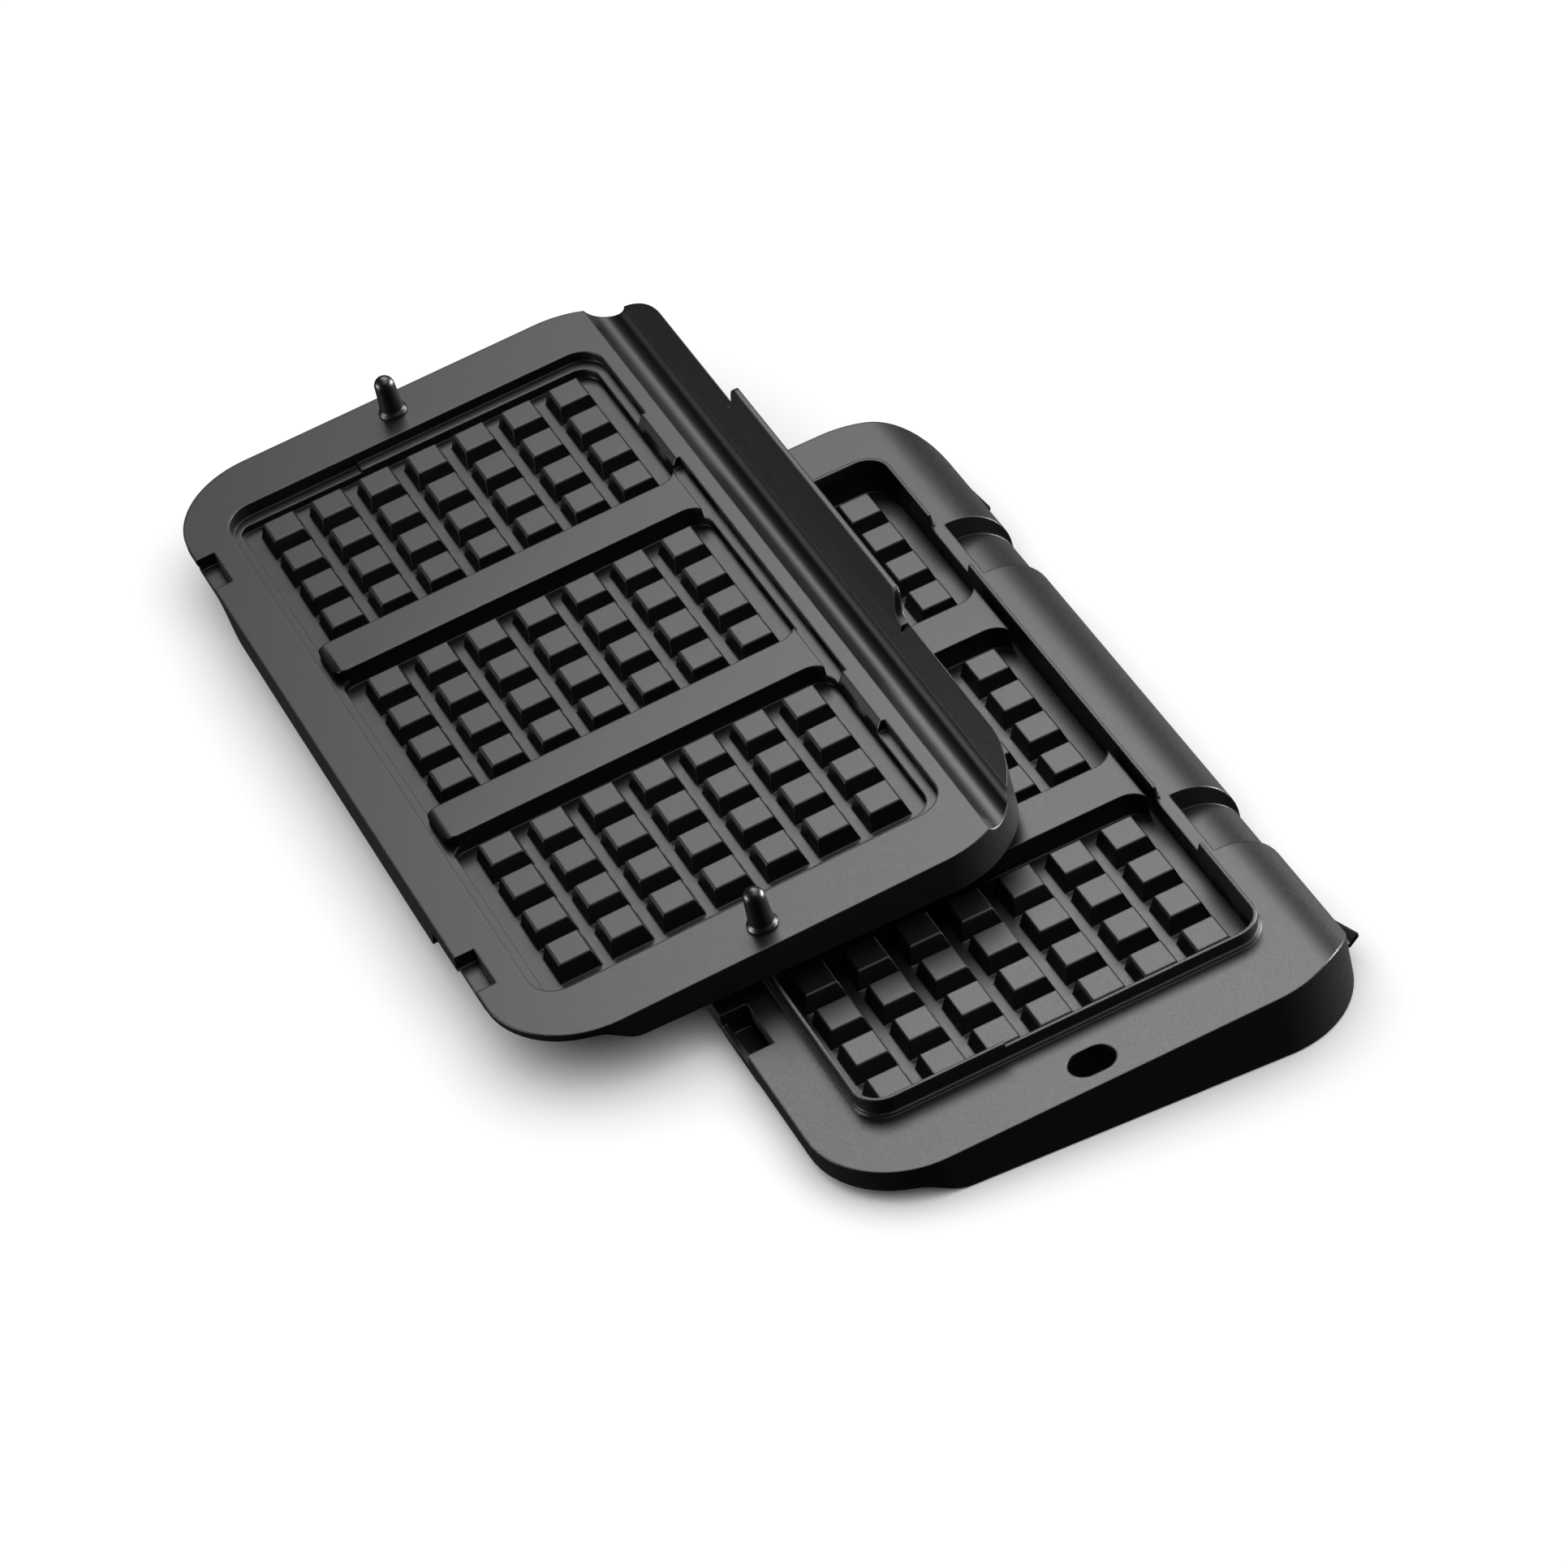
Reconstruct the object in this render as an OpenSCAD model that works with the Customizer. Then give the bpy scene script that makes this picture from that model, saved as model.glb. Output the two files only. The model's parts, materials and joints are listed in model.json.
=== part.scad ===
// A pair of removable waffle plates for a hinged contact grill.
// The upper plate lies face up across the lower one, to its front and left.
// Each plate is drawn in its own frame: the origin is the centre of the rim
// face, X runs along the plate, Y from front to rear and Z out of the face.

/* [Waffle grid] */
// Spacing of the studs along the plate
stud_pitch_x = 17; // [16.6:0.1:17.4]
// Spacing of the studs from front to rear
stud_pitch_y = 16.6; // [16.2:0.1:16.8]
// Flat top of a stud, along the plate
stud_top_x = 9.9; // [8:0.1:10.5]
// Flat top of a stud, front to rear
stud_top_y = 9.6; // [8:0.1:10.5]
// Foot of a stud, along the plate
stud_foot_x = 13.7; // [12:0.1:14.5]
// Foot of a stud, front to rear
stud_foot_y = 13.3; // [12:0.1:14.5]
// Height of a stud above the pocket floor
stud_h = 5.9; // [4.5:0.1:5.9]
// Width of the bars between the pockets
bar_w = 15.8; // [13:0.1:17]

/* [Plates] */
// Rim between the recess and the short ends
rim_end = 21.6; // [20:0.1:24]
// Distance from the middle to the front edge
front_edge = 79.3; // [79:0.1:81]
// Distance from the middle to the rear edge
rear_edge = 87; // [86.8:0.1:88]
// Radius of the front corners in plan
front_corner_r = 30; // [24:1:32]
// Radius of the rear corners in plan
rear_corner_r = 33; // [28:1:36]
// Thickness of the skirt walls
skirt_wall = 3; // [2.4:0.1:3.4]

/* [Upper plate] */
// Depth of the seal ledge in the front part
ledge_front_depth = 4.4; // [4:0.1:5]
// Depth of the seal ledge in the rear part
ledge_rear_depth = 3.6; // [3:0.1:4]
// Height of the locating pins above the rim
pin_h = 14; // [10:0.5:16]
// Height of the upright fin above the rear ridge
fin_h = 9.8; // [6:0.1:12]

/* [Lower plate] */
// Height of the seal lip in the front part
lip_front_h = 6.1; // [5:0.1:6.1]
// Height of the seal lip in the rear part
lip_rear_h = 4.7; // [4:0.1:4.7]
// Thickness of the seal lip
lip_wall = 1.1; // [0.9:0.1:1.6]
// Length of the pin slots, front to rear
slot_len = 14.3; // [12:0.1:16]
// Width of the pin slots
slot_w = 10.2; // [9.6:0.1:11]

/* [Arrangement] */
// Slope of the lower rim face above the table, rear side up
lower_tilt = 4.7; // [4.5:0.1:4.8]
// Slope of the upper rim face above the table, rear side up
upper_tilt = 6; // [5.9:0.1:6.2]
// How far the upper plate lies to the left of the lower one
upper_left = 88; // [86:0.5:90]
// How far the upper plate lies in front of the lower one
upper_front = 59; // [58:0.5:61]
// Rise of the upper rim's middle above the lower rim's middle
upper_rise = 12.3; // [12.2:0.1:20]

/* [Hidden] */
$fn = 96;

cast_color = "#3b3b3d";
pin_color = "#1d1d1f";
hook_color = "#2b2b2d";
over = 1;             // how far a cutter runs past the face it opens
tall = 60;            // height of the plan cutters, far above and below

// Grid and pockets, shared by both plates
studs_x = 4;
studs_y = 7;
stud_bevel = 0.4;
stud_root = 0.5;      // how far a stud goes on below the pocket floor
pocket_half_x = studs_x*stud_pitch_x/2 + 3.4;
pocket_half_y = studs_y*stud_pitch_y/2 + 3.8;
pocket_step = 2*pocket_half_x + bar_w;
field_half_x = pocket_step + pocket_half_x;
ledge_w = 4.3;        // seal ledge at the short ends of the upper recess
recess_half_x = field_half_x + ledge_w;
half_len = recess_half_x + rim_end;
bar_flare = 9;        // how far a bar's ends may widen into pocket corners
bar_ahead = 0.8;      // how far an upper bar runs past the pockets at the front
bar_slope = 2.5;      // length and drop of the slope at its front end
bar_drop = 1.3;
boss_wall = 2;        // metal round slots, pits, notches and scallops
floor_wall = 1.6;     // metal under pits and notches
front_round = 0.5;    // blocks stay this far inside the front edge
tray_wall = 2;

// Seal step: the ledge and the lip change height at this line
step_y = -18.7;

// Upper plate sections, as heights in its own frame
upper_deck = 2.4;
upper_floor = -6.9;
upper_tray_bottom = upper_floor - 2.2;
recess_front = pocket_half_y + 3.2;
recess_rear = pocket_half_y + 3.4;
recess_r = 9.5;
kink_front = -57;
kink_rear = -44;
upper_skirt_kink = -9;
upper_skirt_slope = 2.1;
groove_r = 5.75;
groove_y = rear_edge - 11.9;
groove_z = 2.65;
groove_web = 2.8;     // metal left under the groove
ridge_z = 8;
ridge_foot = rear_edge - 8.4;
fin_half = 60;
fin_lean = 8;
fin_top = 1.7;        // thickness at the top
fin_root = 2.5;       // how far it goes down into the ridge
fin_flare = 4;        // radius of the flare at its ends
front_wall_h = 9;       // depth of the front wall at its left end
front_wall_h_right = 11;
front_wall_h_end = 5;   // depth beyond the step on the right
front_wall_left = -100;
front_wall_full = -80;  // the left sweep ends here
front_wall_step = 79;
front_wall_step_len = 3;
front_wall_right = 101;
front_wall_flare = 1;   // how far the foot stands out
notch_w = 17;
notch_x = 109;
notch_depth = 6.2;
notch_floor = -4.5;
tab_x = 75.3;
tab_len = 27;
tab_y = pocket_half_y + 2.2;
pin_x = half_len - 9.7;
pin_shank_r = 2.2;
pin_boss_r = 5.6;
pin_boss_bottom = -6.4;

// Lower plate sections, as heights in its own frame
lower_deck = 3;
lower_floor = -7.9;
lower_tray_bottom = lower_floor - 3;
lower_edge = 7.3;
lower_mid_h = 17.5;   // height of the wedge skirt under the rim's middle
lower_kink = kink_front - 3;
shoulder_r = 18.7;
lip_half_x = field_half_x + 1.6;
lip_front = pocket_half_y + 0.3;
lip_rear = pocket_half_y + 2.1;
lip_r = 9;
lip_base = 0.7;       // small step round the foot of the lip
lip_base_h = 0.8;
gap_left = -91;
gap_right = 60.7;
gap_len = 28.8;
gap_slant = 2.5;
scallop_x = 75.5;
scallop_len = 28.3;
scallop_drop = 7.4;
scallop_y = rear_edge - 20;
scallop_shift = 1;  // the dip's floor runs out at the rear face
slot_x = half_len - 9.8;
slot_boss_bottom = -14;
pit_x = 74.5;
pit_w = 19;
pit_front_wall = 1.8;
pit_rear = front_edge - 8.6;
pit_floor = -8.3;
pit_wall_top = -4;

// Sheet-metal hooks behind the lower plate
hook_t = 1.5;
hook_inner_x = 108;
hook_outer_x = 129;
hook_grip = 9;        // length of the tongue inside the rear edge
hook_z = -19.3;       // underside of the tongue
hook_rise = 2.5;      // the tongue's tip turns up by this much
hook_out_left = [0.2, 1.5];   // reach behind the rear edge at both ends
hook_out_right = [-1.4, 3];
hook_flange_len = 16;
hook_flange_h = 4;

// Places of the two frames: the origin is on the table, mid-way in X and Y
lower_x = upper_left/2;
lower_y = (upper_front + front_edge*cos(upper_tilt)
    - reach_y(rear_edge + hook_out_right[1], hook_z + hook_rise, lower_tilt))/2;
lower_z = lower_mid_h*cos(lower_tilt);

function reach_y(y, z, tilt) = y*cos(tilt) - z*sin(tilt);
function mid(i, n, pitch) = (i - (n - 1)/2)*pitch;

// S-shaped run of points from p to q, level at both ends
function s_curve(p, q, n = 8) =
    [for (i = [0:n]) [p[0] + (q[0] - p[0])*i/n,
                      p[1] + (q[1] - p[1])*(1 - cos(180*i/n))/2]];

// Section through one row of n studs, from the root up
function comb(n, pitch, top, foot) = [
    [-n*pitch/2, -2*stud_root],
    [-n*pitch/2, -stud_root],
    for (i = [0:n - 1], p = [
            [-foot/2, -stud_root], [-foot/2, 0],
            [-top/2 - stud_bevel, stud_h - stud_bevel], [-top/2, stud_h],
            [top/2, stud_h], [top/2 + stud_bevel, stud_h - stud_bevel],
            [foot/2, 0], [foot/2, -stud_root]])
        [mid(i, n, pitch) + p[0], p[1]],
    [n*pitch/2, -stud_root],
    [n*pitch/2, -2*stud_root]];

// A section drawn as (y, z) and run along X
module along_x(x0, x1) {
    translate([x0, 0, 0])
        rotate([90, 0, 90])
            linear_extrude(x1 - x0) children();
}

// A section drawn as (x, z) and run along Y
module along_y(y0, y1) {
    translate([0, y1, 0])
        rotate([90, 0, 0])
            linear_extrude(y1 - y0) children();
}

// A plan shape run from height z0 to z1
module upright(z0, z1) {
    translate([0, 0, z0]) linear_extrude(z1 - z0) children();
}

module box(x0, x1, y0, y1, z0, z1) {
    translate([x0, y0, z0]) cube([x1 - x0, y1 - y0, z1 - z0]);
}

// Rectangle with front corners of radius rf and rear corners of radius rr
module rounded(x0, x1, y0, y1, rf, rr) {
    y_mid = (y0 + y1)/2;
    translate([x0, y0 + rf]) square([x1 - x0, y1 - y0 - rf - rr]);
    translate([x0 + rf, y0]) square([x1 - x0 - 2*rf, y_mid - y0]);
    translate([x0 + rr, y_mid]) square([x1 - x0 - 2*rr, y1 - y_mid]);
    for (x = [x0 + rf, x1 - rf]) translate([x, y0 + rf]) circle(r = rf);
    for (x = [x0 + rr, x1 - rr]) translate([x, y1 - rr]) circle(r = rr);
}

// Plan outline of both plates, moved inward by inset
module outline(inset = 0) {
    rounded(-half_len + inset, half_len - inset, -front_edge + inset, rear_edge - inset,
            front_corner_r - inset, rear_corner_r - inset);
}

// Front part of a tray, which reaches below the thin front flange
module tray_front(bottom, top) {
    intersection() {
        upright(bottom, top) children();
        box(-half_len, half_len, -front_edge, kink_rear, -tall/2, 0);
    }
}

// Runs its children once for each of the three pockets
module each_pocket() {
    for (i = [-1:1]) translate([i*pocket_step, 0, 0]) children();
}

module studs(floor_z) {
    each_pocket()
        translate([0, 0, floor_z])
            intersection() {
                along_x(-pocket_half_x, pocket_half_x)
                    polygon(comb(studs_y, stud_pitch_y, stud_top_y, stud_foot_y));
                along_y(-pocket_half_y, pocket_half_y)
                    polygon(comb(studs_x, stud_pitch_x, stud_top_x, stud_foot_x));
            }
}

module lower_place() {
    translate([lower_x, lower_y, lower_z]) rotate([lower_tilt, 0, 0]) children();
}

module upper_place() {
    translate([lower_x - upper_left, lower_y - upper_front, lower_z + upper_rise])
        rotate([upper_tilt, 0, 0]) children();
}

// ---- Upper plate ----

// Side section: flat deck, rear groove and ridge, and the bottom line
module upper_section() {
    rear_bottom = upper_skirt_kink - (rear_edge - kink_rear)*tan(upper_skirt_slope);
    difference() {
        polygon(concat(
            [[-front_edge, 0], [ridge_foot, 0], [rear_edge, ridge_z], [rear_edge, rear_bottom]],
            s_curve([kink_rear, upper_skirt_kink], [kink_front, -upper_deck]),
            [[-front_edge, -upper_deck]]));
        translate([groove_y, groove_z]) circle(r = groove_r);
    }
}

// Section of the hollow under the upper deck
module upper_hollow_section() {
    inner = rear_edge - skirt_wall;
    web = groove_z - groove_r - groove_web;
    polygon([
        [-front_edge, -tall/2], [-front_edge, -upper_deck],
        [groove_y - 1.5*groove_r, -upper_deck], [groove_y - 0.9*groove_r, web],
        [groove_y + 0.8*groove_r, web], [inner, 0], [inner, -tall/2]]);
}

module upper_shell() {
    difference() {
        intersection() {
            upright(-tall/2, tall/2) outline();
            along_x(-half_len - over, half_len + over) upper_section();
        }
        difference() {
            intersection() {
                upright(-tall/2, tall/2) outline(skirt_wall);
                along_x(-half_len, half_len) upper_hollow_section();
            }
            upright(upper_tray_bottom, over) upper_tray_plan();
            for (x = [-pin_x, pin_x])
                translate([x, 0, pin_boss_bottom])
                    cylinder(r = pin_boss_r, h = -pin_boss_bottom);
        }
    }
    tray_front(upper_tray_bottom, -upper_deck/2) upper_tray_plan();
    upper_front_wall();
    upper_fin();
    for (x = [-notch_x, notch_x])
        box(x - notch_w/2 - boss_wall, x + notch_w/2 + boss_wall, -front_edge + front_round,
            -front_edge + notch_depth + boss_wall, notch_floor - floor_wall, -upper_deck/2);
}

module upper_tray_plan() {
    wall = 1.5*tray_wall;
    rounded(-recess_half_x - wall, recess_half_x + wall, -recess_front - wall,
            recess_rear + wall, recess_r + wall, recess_r + wall);
}

// Deeper front wall: its foot stands out a little, swept at the left, stepped at the right
module upper_front_wall() {
    foot_y = -front_edge - front_wall_flare;
    step_end = front_wall_step + front_wall_step_len;
    intersection() {
        along_x(front_wall_left, front_wall_right)
            polygon([
                [-front_edge, -upper_deck/2], [foot_y, -front_wall_h_right],
                [foot_y + skirt_wall, -front_wall_h_right],
                [-front_edge + skirt_wall, -upper_deck/2]]);
        along_y(foot_y - over, -front_edge + skirt_wall + over)
            polygon(concat(
                [[front_wall_right, 0], [front_wall_left, 0]],
                s_curve([front_wall_left, -upper_deck], [front_wall_full, -front_wall_h]),
                s_curve([front_wall_step, -front_wall_h_right], [step_end, -front_wall_h_end]),
                [[front_wall_right, -front_wall_h_end]]));
    }
}

// Upright fin on the rear ridge, leaning slightly outward
module upper_fin() {
    top_z = ridge_z + fin_h;
    foot_z = ridge_z - fin_root;
    lean = fin_h*tan(fin_lean);
    intersection() {
        along_x(-fin_half - fin_flare, fin_half + fin_flare)
            polygon([
                [rear_edge - skirt_wall, foot_z], [rear_edge, foot_z], [rear_edge, ridge_z],
                [rear_edge + lean, top_z], [rear_edge + lean - fin_top, top_z]]);
        along_y(rear_edge - skirt_wall - over, rear_edge + lean + over)
            upper_fin_outline(top_z, foot_z);
    }
}

// Rear view of the fin: round top corners and a flared foot
module upper_fin_outline(top_z, foot_z) {
    corner = 3;
    translate([-fin_half, foot_z]) square([2*fin_half, top_z - foot_z - corner]);
    translate([-fin_half + corner, foot_z]) square([2*(fin_half - corner), top_z - foot_z]);
    for (x = [-fin_half + corner, fin_half - corner])
        translate([x, top_z - corner]) circle(r = corner);
    for (side = [-1, 1])
        difference() {
            translate([side*fin_half - (1 - side)*fin_flare/2, foot_z])
                square([fin_flare, ridge_z - foot_z + fin_flare]);
            translate([side*(fin_half + fin_flare), ridge_z + fin_flare]) circle(r = fin_flare);
        }
}

// Seal ledge all round the pockets; the bars and the rear tabs stay up
module upper_ledge() {
    bar_front = -pocket_half_y - bar_ahead;
    bar_rear = pocket_half_y - 1.2;
    difference() {
        union() {
            intersection() {
                upright(-ledge_front_depth, over)
                    rounded(-recess_half_x, recess_half_x, -recess_front, recess_rear,
                            recess_r, recess_r);
                box(-half_len, half_len, -front_edge, step_y, -tall/2, over);
            }
            intersection() {
                upright(-ledge_rear_depth, over)
                    rounded(-recess_half_x, recess_half_x, -recess_front, recess_rear,
                            recess_r, recess_r);
                box(-half_len, half_len, step_y, rear_edge, -tall/2, over);
            }
        }
        for (x = [-pocket_step/2, pocket_step/2])
            intersection() {
                along_x(x - bar_w/2 - bar_flare, x + bar_w/2 + bar_flare)
                    polygon([
                        [bar_front, -tall/2], [bar_front, -bar_drop],
                        [bar_front + bar_slope, 0], [bar_front + bar_slope, 2*over],
                        [bar_rear, 2*over], [bar_rear, -tall/2]]);
                upright(-tall/2, 2*over) translate([x, 0]) upper_bar_plan(bar_front, bar_rear);
            }
        for (x = [-tab_x, tab_x])
            along_x(x - tab_len/2, x + tab_len/2)
                polygon([
                    [pocket_half_y, -tall/2], [pocket_half_y, -ledge_rear_depth],
                    [tab_y, 0], [tab_y, 2*over],
                    [recess_rear + over, 2*over], [recess_rear + over, -tall/2]]);
    }
}

// Plan of a bar: rounded front corners, rear end free to widen into the pocket corners
module upper_bar_plan(y0, y1) {
    r_left = 0.8;
    r_right = 4.5;
    translate([-bar_w/2 - bar_flare, 0]) square([bar_w + 2*bar_flare, y1]);
    translate([-bar_w/2, y0 + r_right]) square([bar_w, -y0 - r_right]);
    translate([-bar_w/2 + r_left, y0]) square([bar_w - r_left - r_right, r_right]);
    translate([-bar_w/2, y0 + r_left]) square([r_left, r_right - r_left]);
    translate([-bar_w/2 + r_left, y0 + r_left]) circle(r = r_left);
    translate([bar_w/2 - r_right, y0 + r_right]) circle(r = r_right);
}

module upper_pockets() {
    each_pocket()
        upright(upper_floor, over)
            rounded(-pocket_half_x, pocket_half_x, -pocket_half_y, pocket_half_y, 3.5, 7);
}

module upper_notches() {
    for (x = [-notch_x, notch_x])
        box(x - notch_w/2, x + notch_w/2, -front_edge - over, -front_edge + notch_depth,
            notch_floor, over);
}

module upper_plate() {
    color(cast_color)
        upper_place() {
            difference() {
                upper_shell();
                upper_ledge();
                upper_pockets();
                upper_notches();
                for (x = [-pin_x, pin_x])
                    translate([x, 0, pin_boss_bottom - over])
                        cylinder(r = pin_shank_r, h = -pin_boss_bottom + 2*over);
            }
            studs(upper_floor);
        }
}

// Riveted locating pin: domed tip, slight taper, foot collar and shank
module upper_pin(x) {
    tip_r = 3.3;
    base_r = 3.9;
    collar_r = 4.7;
    collar_h = 0.7;
    color(pin_color)
        upper_place()
            translate([x, 0, 0]) {
                cylinder(r = collar_r, h = collar_h);
                translate([0, 0, collar_h]) cylinder(r1 = collar_r, r2 = base_r, h = 1);
                cylinder(r1 = base_r, r2 = tip_r, h = pin_h - tip_r);
                translate([0, 0, pin_h - tip_r]) sphere(r = tip_r);
                translate([0, 0, pin_boss_bottom])
                    cylinder(r = pin_shank_r, h = -pin_boss_bottom + collar_h/2);
                translate([0, 0, pin_boss_bottom - 1]) cylinder(r = 3.4, h = 1);
            }
}

module upper_pin_left() {
    upper_pin(-pin_x);
}

module upper_pin_right() {
    upper_pin(pin_x);
}

// ---- Lower plate ----

function wedge_z(y) = -lower_mid_h - y*tan(lower_tilt);

// Side section: flat deck, round rear shoulder and the wedge skirt
module lower_section() {
    shoulder_y = rear_edge - shoulder_r;
    polygon(concat(
        [[-front_edge, 0], [shoulder_y, 0], [shoulder_y, -shoulder_r],
         [rear_edge, -shoulder_r], [rear_edge, wedge_z(rear_edge)]],
        s_curve([kink_rear, wedge_z(kink_rear)], [lower_kink, -lower_edge]),
        [[-front_edge, -lower_edge]]));
    round_shoulder(shoulder_y, -shoulder_r, shoulder_r);
}

// Upper rear quarter of a disc, in a (y, z) section
module round_shoulder(y, z, r) {
    intersection() {
        translate([y, z]) circle(r = r);
        translate([y, z]) square([r + over, r + over]);
    }
}

// Section of the hollow under the deck, lowered by drop at the rear
module lower_hollow_section(drop = 0) {
    inner_r = shoulder_r - skirt_wall;
    shoulder_y = rear_edge - shoulder_r;
    translate([-front_edge, -tall]) square([front_edge + shoulder_y, tall - lower_deck - drop]);
    round_shoulder(shoulder_y, -shoulder_r - drop, inner_r);
    translate([shoulder_y, -tall]) square([inner_r, tall - shoulder_r - drop]);
}

module lower_hollow() {
    difference() {
        intersection() {
            upright(-tall, over) outline(skirt_wall);
            along_x(-half_len, half_len) lower_hollow_section();
        }
        upright(lower_tray_bottom, 2*over) lower_tray_plan();
        for (x = [-scallop_x, scallop_x])
            intersection() {
                box(x - scallop_len/2 - boss_wall, x + scallop_len/2 + boss_wall, lip_rear,
                    rear_edge, -tall/2, over);
                difference() {
                    box(x - scallop_len, x + scallop_len, 0, rear_edge + over, -tall/2, over);
                    along_x(x - scallop_len - over, x + scallop_len + over)
                        lower_hollow_section(scallop_drop);
                }
            }
        for (x = [-slot_x, slot_x])
            upright(slot_boss_bottom, over)
                translate([x, 0]) slot_shape(boss_wall);
        for (x = [-pit_x, pit_x])
            box(x - pit_w/2 - boss_wall, x + pit_w/2 + boss_wall, -front_edge,
                -pit_rear + boss_wall, pit_floor - floor_wall, over);
    }
}

module lower_shell() {
    difference() {
        intersection() {
            upright(-tall, over) outline();
            along_x(-half_len - over, half_len + over) lower_section();
        }
        lower_hollow();
    }
    tray_front(lower_tray_bottom, -lower_deck/2) lower_tray_plan();
    for (x = [-pit_x, pit_x])
        box(x - pit_w/2 - boss_wall, x + pit_w/2 + boss_wall, -front_edge + front_round,
            -pit_rear + boss_wall, pit_floor - floor_wall, -lower_deck/2);
}

module lower_tray_plan() {
    rounded(-lip_half_x - tray_wall, lip_half_x + tray_wall, -lip_front - tray_wall,
            lip_rear + tray_wall, lip_r + tray_wall, lip_r + tray_wall);
}

// Plan of a pin slot, grown by grow
module slot_shape(grow = 0) {
    r = slot_w/2 + grow;
    reach = (slot_len - slot_w)/2;
    translate([-r, -reach]) square([2*r, 2*reach]);
    for (y = [-reach, reach]) translate([0, y]) circle(r = r);
}

// Seal lip round the pockets, lower at the rear and open at two gaps
module lower_lip() {
    difference() {
        union() {
            upright(-lower_deck, lip_front_h)
                rounded(-lip_half_x, lip_half_x, -lip_front, lip_rear, lip_r, lip_r);
            upright(-lower_deck, lip_base_h)
                rounded(-lip_half_x - lip_base, lip_half_x + lip_base, -lip_front - lip_base,
                        lip_rear + lip_base, lip_r + lip_base, lip_r + lip_base);
        }
        upright(-tall/2, tall/2)
            rounded(-lip_half_x + lip_wall, lip_half_x - lip_wall, -lip_front + lip_wall,
                    lip_rear - lip_wall, lip_r - lip_wall, lip_r - lip_wall);
        box(-half_len, half_len, step_y, rear_edge, lip_rear_h, tall/2);
        for (x = [gap_left, gap_right])
            along_y(lip_rear - 4, lip_rear + over)
                polygon([
                    [x, 0], [x + gap_len - gap_slant, 0],
                    [x + gap_len + gap_slant, 2*lip_rear_h], [x, 2*lip_rear_h]]);
    }
}

// Everything that is cut out between the lip and the bars
module lower_basin() {
    difference() {
        upright(lower_floor, tall/2)
            rounded(-lip_half_x + lip_wall, lip_half_x - lip_wall, -lip_front + lip_wall,
                    lip_rear - lip_wall, lip_r - lip_wall, lip_r - lip_wall);
        lower_bars();
    }
}

// Bars between the pockets, widening into round pocket corners
module lower_bars() {
    bar_end = pocket_half_y - 0.4;
    difference() {
        for (x = [-pocket_step/2, pocket_step/2])
            box(x - bar_w/2 - bar_flare, x + bar_w/2 + bar_flare, -bar_end + 1.6, bar_end,
                lower_floor - over, 0);
        each_pocket()
            upright(lower_floor - 2*over, over)
                rounded(-pocket_half_x, pocket_half_x, -pocket_half_y, pocket_half_y, 7, 7);
    }
}

// Two dips across the rear shoulder
module lower_scallops() {
    floor_y = rear_edge - shoulder_r + scallop_shift;
    for (x = [-scallop_x, scallop_x])
        along_x(x - scallop_len/2, x + scallop_len/2)
            difference() {
                translate([scallop_y, -shoulder_r - scallop_drop])
                    square([30, shoulder_r + scallop_drop + over]);
                round_shoulder(floor_y, -shoulder_r - scallop_drop, shoulder_r);
                translate([scallop_y, -shoulder_r - scallop_drop])
                    square([floor_y - scallop_y, shoulder_r]);
            }
}

// Two pits just inside the front edge, with a low wall in front
module lower_pits() {
    for (x = [-pit_x, pit_x]) {
        box(x - pit_w/2, x + pit_w/2, -front_edge + pit_front_wall, -pit_rear, pit_floor, over);
        box(x - pit_w/2, x + pit_w/2, -front_edge - over, -pit_rear, pit_wall_top, over);
    }
}

module lower_hook_slots() {
    for (x = [-hook_outer_x, hook_inner_x])
        box(x, x + hook_outer_x - hook_inner_x, rear_edge - 12, rear_edge + over,
            hook_z, hook_z + hook_t);
}

module lower_plate() {
    color(cast_color)
        lower_place() {
            difference() {
                lower_shell();
                lower_basin();
                lower_scallops();
                lower_pits();
                lower_hook_slots();
                for (x = [-slot_x, slot_x])
                    upright(-tall/2, over)
                        translate([x, 0]) slot_shape();
            }
            lower_lip();
            studs(lower_floor);
        }
}

// Section of a hook's tongue: level through the skirt, then turned up behind it
module hook_section() {
    tip_y = rear_edge + hook_out_right[1];
    polygon([
        [rear_edge - hook_grip, hook_z], [rear_edge, hook_z],
        [tip_y, hook_z + hook_rise], [tip_y, hook_z + hook_rise + hook_t],
        [rear_edge, hook_z + hook_t], [rear_edge - hook_grip, hook_z + hook_t]]);
}

// Sheet hook: a tongue through the rear skirt, cut off at a slant, and its inner flange
module lower_hook(x0, flange_x0, out) {
    x1 = x0 + hook_outer_x - hook_inner_x;
    flange_face = rear_edge - skirt_wall;
    color(hook_color)
        lower_place() {
            intersection() {
                along_x(x0, x1) hook_section();
                upright(-tall, 0)
                    polygon([
                        [x0, rear_edge - hook_grip], [x1, rear_edge - hook_grip],
                        [x1, rear_edge + out[1]], [x0, rear_edge + out[0]]]);
            }
            box(flange_x0, flange_x0 + hook_flange_len, flange_face - hook_t, flange_face,
                hook_z - hook_flange_h, hook_z + hook_t);
        }
}

module lower_hook_left() {
    lower_hook(-hook_outer_x, -hook_inner_x - hook_flange_len, hook_out_left);
}

module lower_hook_right() {
    lower_hook(hook_inner_x, hook_inner_x, hook_out_right);
}

lower_plate();
lower_hook_left();
lower_hook_right();
upper_plate();
upper_pin_left();
upper_pin_right();
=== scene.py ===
"""Looks of the pair of waffle plates: softened castings, coating, floor, light and camera."""
import json
import math

import bmesh
import bpy
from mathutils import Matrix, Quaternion, Vector

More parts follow.
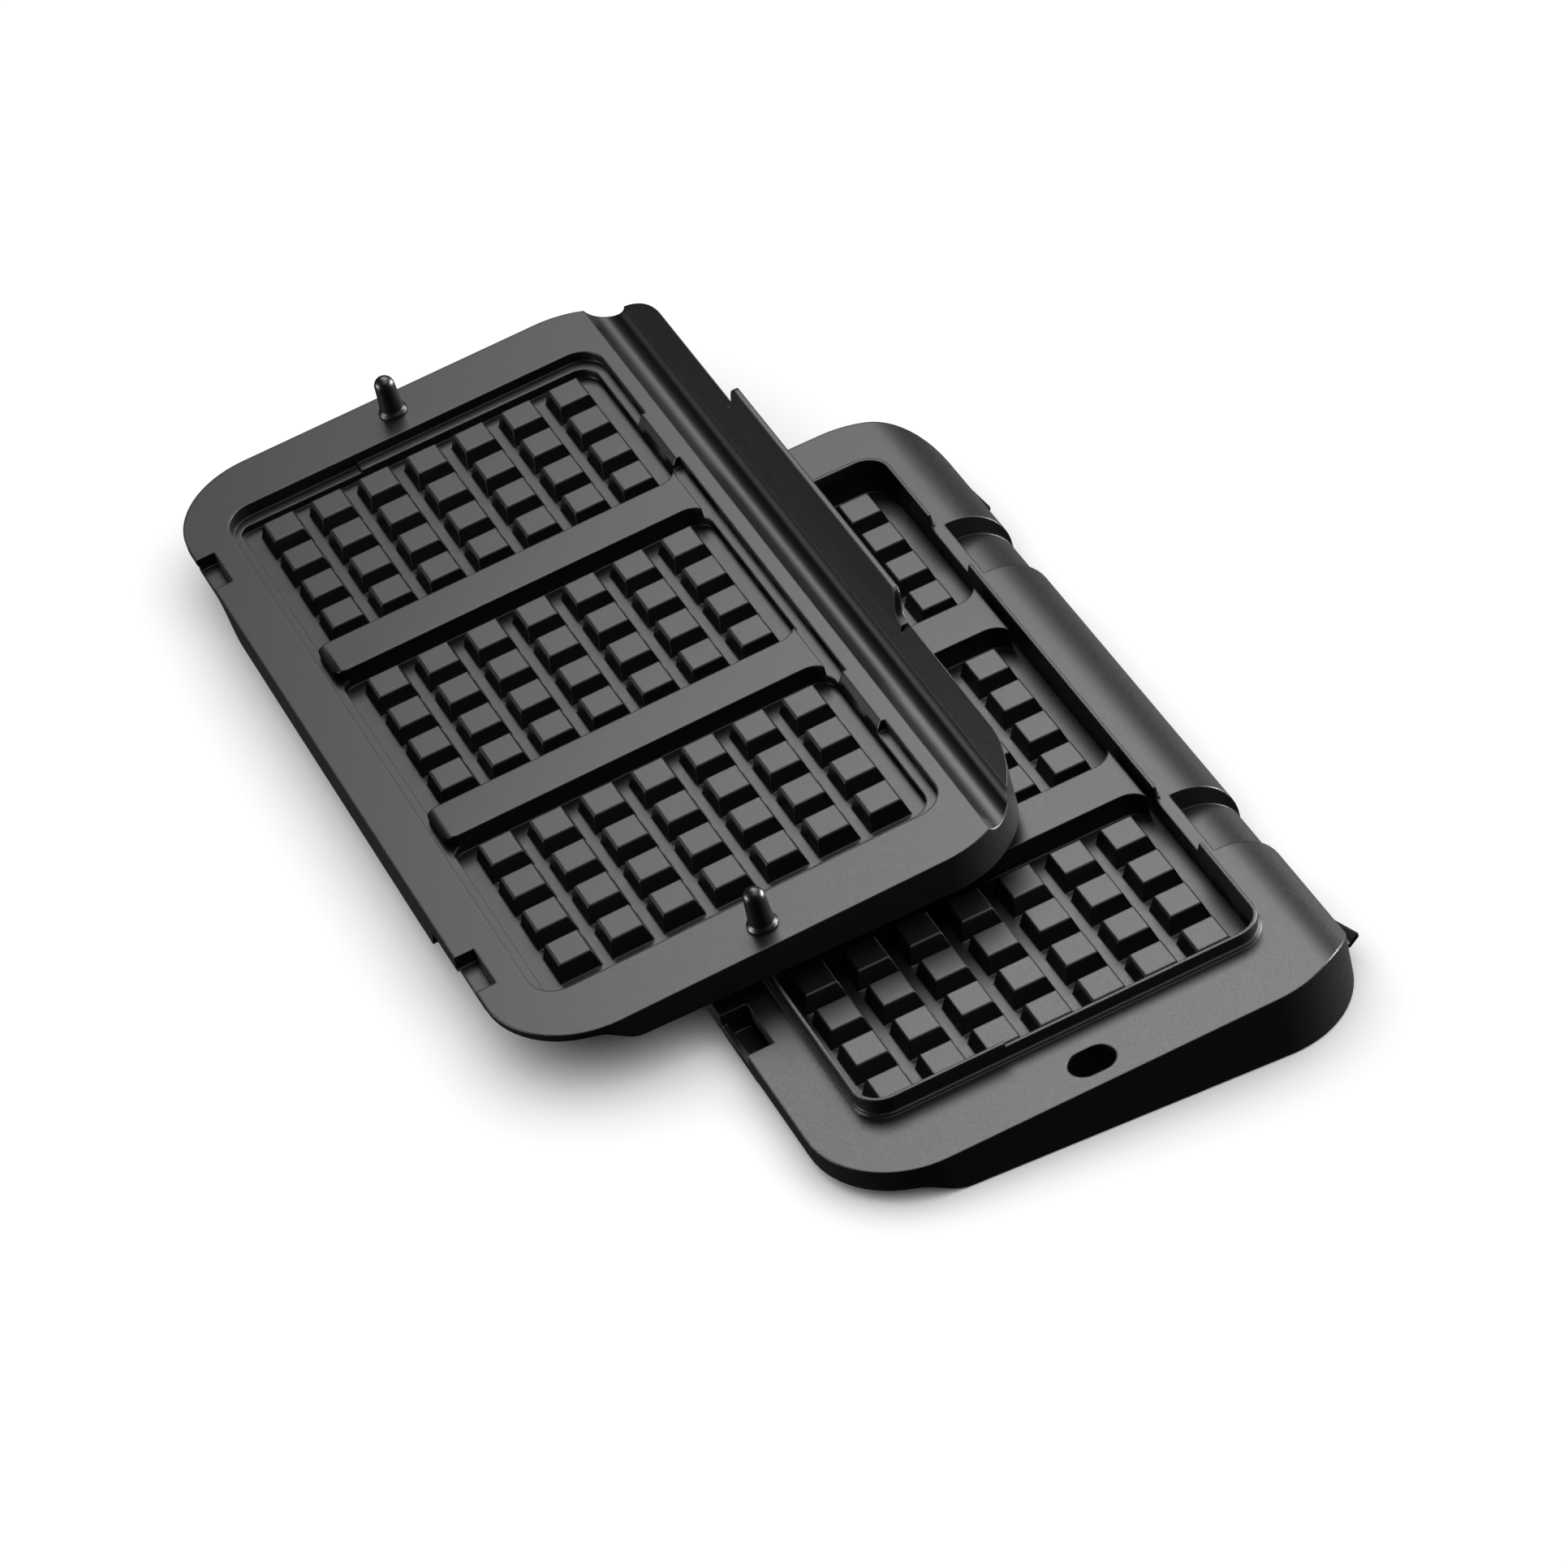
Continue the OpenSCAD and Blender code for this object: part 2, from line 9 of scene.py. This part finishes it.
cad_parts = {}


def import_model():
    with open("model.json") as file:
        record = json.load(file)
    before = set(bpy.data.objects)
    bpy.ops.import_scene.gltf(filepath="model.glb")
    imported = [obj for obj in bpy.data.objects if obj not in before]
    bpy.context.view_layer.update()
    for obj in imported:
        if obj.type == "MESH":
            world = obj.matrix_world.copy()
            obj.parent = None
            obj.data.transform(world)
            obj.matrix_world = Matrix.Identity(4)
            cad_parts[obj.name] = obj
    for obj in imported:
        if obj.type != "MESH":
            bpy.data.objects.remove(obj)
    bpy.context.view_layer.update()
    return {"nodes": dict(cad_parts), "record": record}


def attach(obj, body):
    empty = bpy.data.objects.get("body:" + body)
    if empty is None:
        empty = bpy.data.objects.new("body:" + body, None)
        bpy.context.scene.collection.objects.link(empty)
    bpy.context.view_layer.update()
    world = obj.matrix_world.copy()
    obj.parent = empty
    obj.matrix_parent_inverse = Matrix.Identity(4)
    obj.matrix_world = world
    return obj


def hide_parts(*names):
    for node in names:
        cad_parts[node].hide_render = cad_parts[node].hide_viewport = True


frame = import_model()

PLATES = ("lower_plate", "upper_plate")
PINS = ("upper_pin_left", "upper_pin_right")
HOOKS = ("lower_hook_left", "lower_hook_right")

# Softened edges: radius in metres, for cast and for sheet parts
PLATE_EDGE_RADIUS = 0.00045
HOOK_EDGE_RADIUS = 0.0002
EDGE_SEGMENTS = 2
SHARP_ANGLE = math.radians(28)

# Faces that meet flatter than this, and points closer than this, are joined
FLAT_ANGLE = math.radians(0.5)
WELD_DISTANCE = 2e-6

# Coating: base greys, noise scales per metre, and depth and edge rounding in metres
COATING_DARK = 0.003
COATING_LIGHT = 0.006
DRIFT_DARK = 0.93
SPECKLE_SCALE = 2600.0
DRIFT_SCALE = 9.0
PEBBLE_SCALE = 1500.0
PEBBLE_DEPTH = 0.00004
EDGE_SHEEN = 0.0008
EDGE_SHEEN_SAMPLES = 6

# Floor: half its side, how far it lies below the object, and its grey
FLOOR_HALF = 6.0
FLOOR_DROP = 0.0005
FLOOR_GREY = 0.9
FLOOR_ROUGHNESS = 0.9

# Weak light from all round, which the camera sees as plain white
SKY_STRENGTH = 0.02

# Lamps on the object: name, azimuth, elevation, distance, width and height, power
OBJECT_LAMPS = (
    ("key_beyond", 238.0, 56.0, 2.4, (1.9, 1.5), 66.0),
    ("rear_strip", 180.0, 8.0, 2.4, (1.6, 0.6), 190.0),
    ("front_strip", 345.0, 3.5, 2.4, (1.4, 0.24), 50.0),
    ("overhead", 130.0, 74.0, 2.4, (1.6, 1.6), 24.0),
)
TABLE_LAMP = ("table_light", 0.0, 90.0, 1.6, (4.5, 4.5), 105.0)

# Camera: direction of view, distance from the point it looks at, and its tilt about that line
VIEW_AZIMUTH = 71.69
VIEW_ELEVATION = 39.66
VIEW_ROLL = 9.35
VIEW_DISTANCE = 1.8
VIEW_AIM = Vector((0.020, 0.004, 0.0057))
SENSOR = 36.0
LENS = 139.6
CLIP_START = 0.05
CLIP_END = 50.0


def body_of(node):
    """Name of the body that holds a CAD node."""
    for body, members in frame["record"]["behaviour"]["bodies"].items():
        if node in members:
            return body
    raise KeyError(node)


# ---- materials ----

def new_material(name):
    """Empty node material and its principled shader."""
    material = bpy.data.materials.new(name)
    material.use_nodes = True
    nodes = material.node_tree.nodes
    nodes.clear()
    output = nodes.new("ShaderNodeOutputMaterial")
    shader = nodes.new("ShaderNodeBsdfPrincipled")
    material.node_tree.links.new(shader.outputs["BSDF"], output.inputs["Surface"])
    return material, shader


def add_node(material, kind, **inputs):
    """New node with the named inputs set to constants."""
    node = material.node_tree.nodes.new(kind)
    for socket, value in inputs.items():
        node.inputs[socket].default_value = value
    return node


def link(material, source, target):
    material.node_tree.links.new(source, target)


def noise(material, place, scale, detail, roughness=0.5):
    node = add_node(material, "ShaderNodeTexNoise", Scale=scale, Detail=detail, Roughness=roughness)
    link(material, place, node.inputs["Vector"])
    return node.outputs["Fac"]


def ramp(material, source, low, high, dark, light):
    """Maps source from low..high to the colours dark..light."""
    node = material.node_tree.nodes.new("ShaderNodeValToRGB")
    node.color_ramp.elements[0].position = low
    node.color_ramp.elements[1].position = high
    node.color_ramp.elements[0].color = (*dark, 1)
    node.color_ramp.elements[1].color = (*light, 1)
    link(material, source, node.inputs["Fac"])
    return node.outputs["Color"]


def grey(value):
    """Grey with a trace of blue."""
    return (value, value, value * 1.02)


def coating_material(name, rough_low, rough_high, bump):
    """Sprayed satin coating on metal: fine speckle, slow tone drift and a pebbled surface."""
    material, shader = new_material(name)
    place = add_node(material, "ShaderNodeTexCoord").outputs["Object"]
    speckle = noise(material, place, SPECKLE_SCALE, detail=3.0, roughness=0.6)
    drift = noise(material, place, DRIFT_SCALE, detail=2.0)
    pebble = noise(material, place, PEBBLE_SCALE, detail=4.0, roughness=0.55)
    colour = ramp(material, speckle, 0.38, 0.68, grey(COATING_DARK), grey(COATING_LIGHT))
    tone = ramp(material, drift, 0.3, 0.7, grey(DRIFT_DARK), grey(1.0))
    mix = material.node_tree.nodes.new("ShaderNodeMix")
    mix.data_type = "RGBA"
    mix.blend_type = "MULTIPLY"
    mix.inputs["Factor"].default_value = 1.0
    link(material, colour, mix.inputs["A"])
    link(material, tone, mix.inputs["B"])
    link(material, mix.outputs["Result"], shader.inputs["Base Color"])
    rough = ramp(material, pebble, 0.3, 0.7, (rough_low,) * 3, (rough_high,) * 3)
    link(material, rough, shader.inputs["Roughness"])
    rounding = add_node(material, "ShaderNodeBevel", Radius=EDGE_SHEEN)
    rounding.samples = EDGE_SHEEN_SAMPLES
    relief = add_node(material, "ShaderNodeBump", Strength=bump, Distance=PEBBLE_DEPTH)
    link(material, rounding.outputs["Normal"], relief.inputs["Normal"])
    link(material, pebble, relief.inputs["Height"])
    link(material, relief.outputs["Normal"], shader.inputs["Normal"])
    shader.inputs["Specular IOR Level"].default_value = 0.5
    return material


# ---- pieces ----

def cleaned_copy(node, name):
    """Copy of a CAD node's mesh with its faces joined into whole planes."""
    mesh = frame["nodes"][node].data.copy()
    mesh.name = name
    work = bmesh.new()
    work.from_mesh(mesh)
    bmesh.ops.remove_doubles(work, verts=work.verts, dist=WELD_DISTANCE)
    bmesh.ops.dissolve_limit(
        work, angle_limit=FLAT_ANGLE, verts=work.verts, edges=work.edges, delimit=set())
    work.to_mesh(mesh)
    work.free()
    for attribute in ("custom_normal", "sharp_edge", "sharp_face"):
        if attribute in mesh.attributes:
            mesh.attributes.remove(mesh.attributes[attribute])
    piece = bpy.data.objects.new(name, mesh)
    bpy.context.scene.collection.objects.link(piece)
    return piece


def soften(piece, radius):
    """Rounds the sharp edges and shades what is left smoothly."""
    bevel = piece.modifiers.new("edge_rounding", "BEVEL")
    bevel.width = radius
    bevel.segments = EDGE_SEGMENTS
    bevel.limit_method = "ANGLE"
    bevel.angle_limit = SHARP_ANGLE
    bevel.harden_normals = False
    bevel.use_clamp_overlap = True
    for polygon in piece.data.polygons:
        polygon.use_smooth = True
    normals = piece.modifiers.new("face_normals", "WEIGHTED_NORMAL")
    normals.keep_sharp = False
    normals.weight = 100


def dress(node, name, material, radius):
    """Visual piece in place of a CAD node, riding on the same body."""
    piece = cleaned_copy(node, name)
    soften(piece, radius)
    piece.data.materials.clear()
    piece.data.materials.append(material)
    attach(piece, body_of(node))
    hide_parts(node)
    return piece


coating = coating_material("nonstick_coating", rough_low=0.35, rough_high=0.43, bump=0.2)
pin_finish = coating_material("pin_finish", rough_low=0.3, rough_high=0.38, bump=0.1)
hook_finish = coating_material("hook_finish", rough_low=0.32, rough_high=0.4, bump=0.15)

for plate in PLATES:
    dress(plate, plate + "_casting", coating, PLATE_EDGE_RADIUS)
for hook in HOOKS:
    dress(hook, hook + "_sheet", hook_finish, HOOK_EDGE_RADIUS)
for pin in PINS:
    frame["nodes"][pin].material_slots[0].material = pin_finish


# ---- floor, light and camera ----

def away(azimuth, elevation):
    """Unit vector from the object towards an azimuth seen from above and an elevation, in degrees."""
    a, e = math.radians(azimuth), math.radians(elevation)
    return Vector((math.sin(a) * math.cos(e), -math.cos(a) * math.cos(e), math.sin(e)))


def floor():
    """Plain pale table, which neither lights the object nor shows in its gloss."""
    mesh = bpy.data.meshes.new("floor")
    corners = [(x * FLOOR_HALF, y * FLOOR_HALF, 0) for x, y in ((-1, -1), (1, -1), (1, 1), (-1, 1))]
    mesh.from_pydata(corners, [], [(0, 1, 2, 3)])
    piece = bpy.data.objects.new("floor", mesh)
    bpy.context.scene.collection.objects.link(piece)
    piece.location.z = -FLOOR_DROP
    material, shader = new_material("floor")
    shader.inputs["Base Color"].default_value = (FLOOR_GREY, FLOOR_GREY, FLOOR_GREY, 1)
    shader.inputs["Roughness"].default_value = FLOOR_ROUGHNESS
    mesh.materials.append(material)
    piece.visible_diffuse = False
    piece.visible_glossy = False
    return piece


def area_light(name, azimuth, elevation, distance, size, power):
    """Soft box at an azimuth and an elevation, facing the object."""
    light = bpy.data.lights.new(name, "AREA")
    light.shape = "RECTANGLE"
    light.size, light.size_y = size
    light.energy = power
    lamp = bpy.data.objects.new(name, light)
    back = away(azimuth, elevation)
    lamp.location = back * distance
    lamp.rotation_mode = "QUATERNION"
    lamp.rotation_quaternion = (-back).to_track_quat("-Z", "Y")
    bpy.context.scene.collection.objects.link(lamp)
    return lamp


def light_only(lamp, piece, state):
    """Links a lamp to one piece alone (INCLUDE) or to everything else (EXCLUDE)."""
    group = bpy.data.collections.new(lamp.name + "_link")
    group.objects.link(piece)
    group.collection_objects[0].light_linking.link_state = state
    lamp.light_linking.receiver_collection = group


def world():
    """Weak even light, with a plain white backdrop for the camera."""
    sky = bpy.data.worlds.new("studio")
    sky.use_nodes = True
    nodes = sky.node_tree.nodes
    background = nodes["Background"]
    background.inputs["Strength"].default_value = SKY_STRENGTH
    backdrop = nodes.new("ShaderNodeBackground")
    for node in (background, backdrop):
        node.inputs["Color"].default_value = (1, 1, 1, 1)
    seen = nodes.new("ShaderNodeLightPath")
    choice = nodes.new("ShaderNodeMixShader")
    links = sky.node_tree.links
    links.new(seen.outputs["Is Camera Ray"], choice.inputs["Fac"])
    links.new(background.outputs["Background"], choice.inputs[1])
    links.new(backdrop.outputs["Background"], choice.inputs[2])
    links.new(choice.outputs["Shader"], nodes["World Output"].inputs["Surface"])
    bpy.context.scene.world = sky


def camera():
    """Camera at the angle of view given above."""
    data = bpy.data.cameras.new("camera")
    data.sensor_width = SENSOR
    data.lens = LENS
    data.clip_start = CLIP_START
    data.clip_end = CLIP_END
    piece = bpy.data.objects.new("camera", data)
    back = away(VIEW_AZIMUTH, VIEW_ELEVATION)
    piece.location = VIEW_AIM + back * VIEW_DISTANCE
    piece.rotation_mode = "QUATERNION"
    roll = Quaternion(-back, math.radians(VIEW_ROLL))
    piece.rotation_quaternion = roll @ (-back).to_track_quat("-Z", "Y")
    bpy.context.scene.collection.objects.link(piece)
    bpy.context.scene.camera = piece


table = floor()
world()
for settings in OBJECT_LAMPS:
    light_only(area_light(*settings), table, "EXCLUDE")
light_only(area_light(*TABLE_LAMP), table, "INCLUDE")
camera()
bpy.context.scene.view_settings.view_transform = "Standard"
